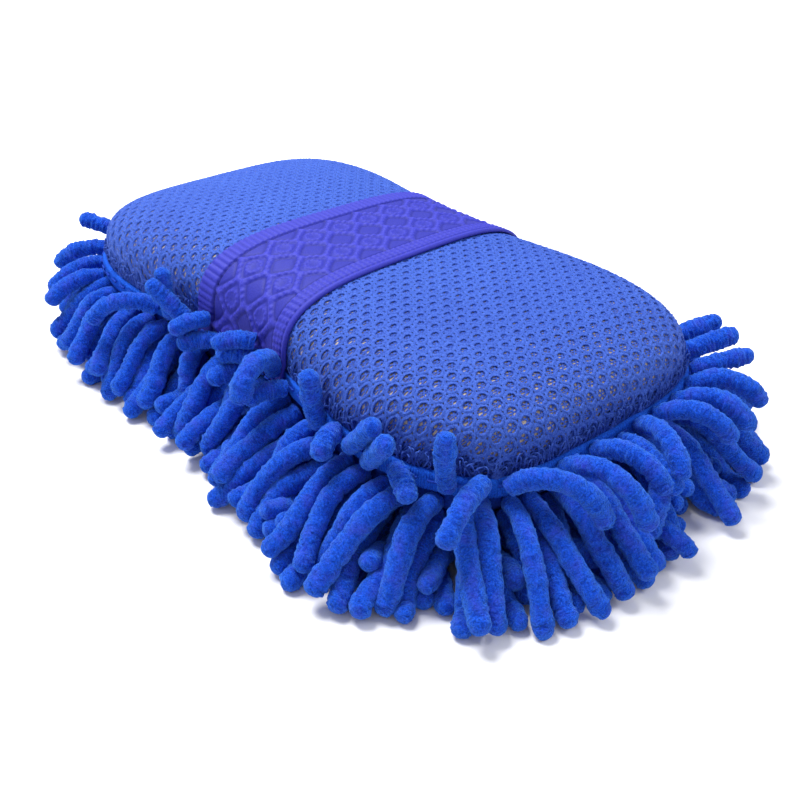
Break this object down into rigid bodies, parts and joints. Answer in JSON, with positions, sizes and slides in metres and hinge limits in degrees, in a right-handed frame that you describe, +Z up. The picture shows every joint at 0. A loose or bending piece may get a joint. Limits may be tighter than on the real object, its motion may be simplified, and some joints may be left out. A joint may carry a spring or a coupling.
{
  "type": "wash mitt",
  "caption": "Waisted foam wash pad with a knitted mesh top, an elastic hand strap across its middle and a chenille noodle cloth round its sides and underside.",
  "frame": {"origin": "on the ground under the middle of the pad", "axes": "+X along the pad's length, +Y across it along the strap, +Z up from the ground through the domed mesh top"},
  "size_m": [0.256, 0.1648, 0.0554],
  "materials": {
    "foam": "open-cell polyurethane foam, matt tan",
    "mesh_knit": "bright blue warp-knitted polyester mesh, slight sheen",
    "chenille_base": "deep blue ribbed polyester knit, matt",
    "chenille_pile": "deep blue microfibre chenille, soft nap",
    "strap_webbing": "violet blue woven elastic, low relief, slight sheen",
    "thread": "blue violet polyester sewing thread"
  },
  "bodies": {
    "pad": {"foam_core": "foam", "mesh_cover": "mesh_knit", "backing_cloth": "chenille_base", "edge_binding": "chenille_base", "seam_stitches": "thread", "strap_tab_front": "strap_webbing", "strap_tab_rear": "strap_webbing", "strap_tacks_front": "thread", "strap_tacks_rear": "thread", "noodles_rim": "chenille_pile", "noodles_upper": "chenille_pile", "noodles_middle": "chenille_pile", "noodles_lower": "chenille_pile", "noodles_floor": "chenille_pile", "underside_row_1": "chenille_pile", "underside_row_2": "chenille_pile", "underside_row_3": "chenille_pile", "underside_row_4": "chenille_pile", "underside_row_5": "chenille_pile", "underside_row_6": "chenille_pile", "underside_row_7": "chenille_pile"},
    "strap": {"hand_strap": "strap_webbing"}
  },
  "joints": [
    {"name": "strap_lift", "type": "slide", "parent": "pad", "child": "strap", "axis": [0, 0, 1], "range_m": [0, 0.03], "stiffness_N_per_m": 300, "springref_m": -0.002}
  ]
}
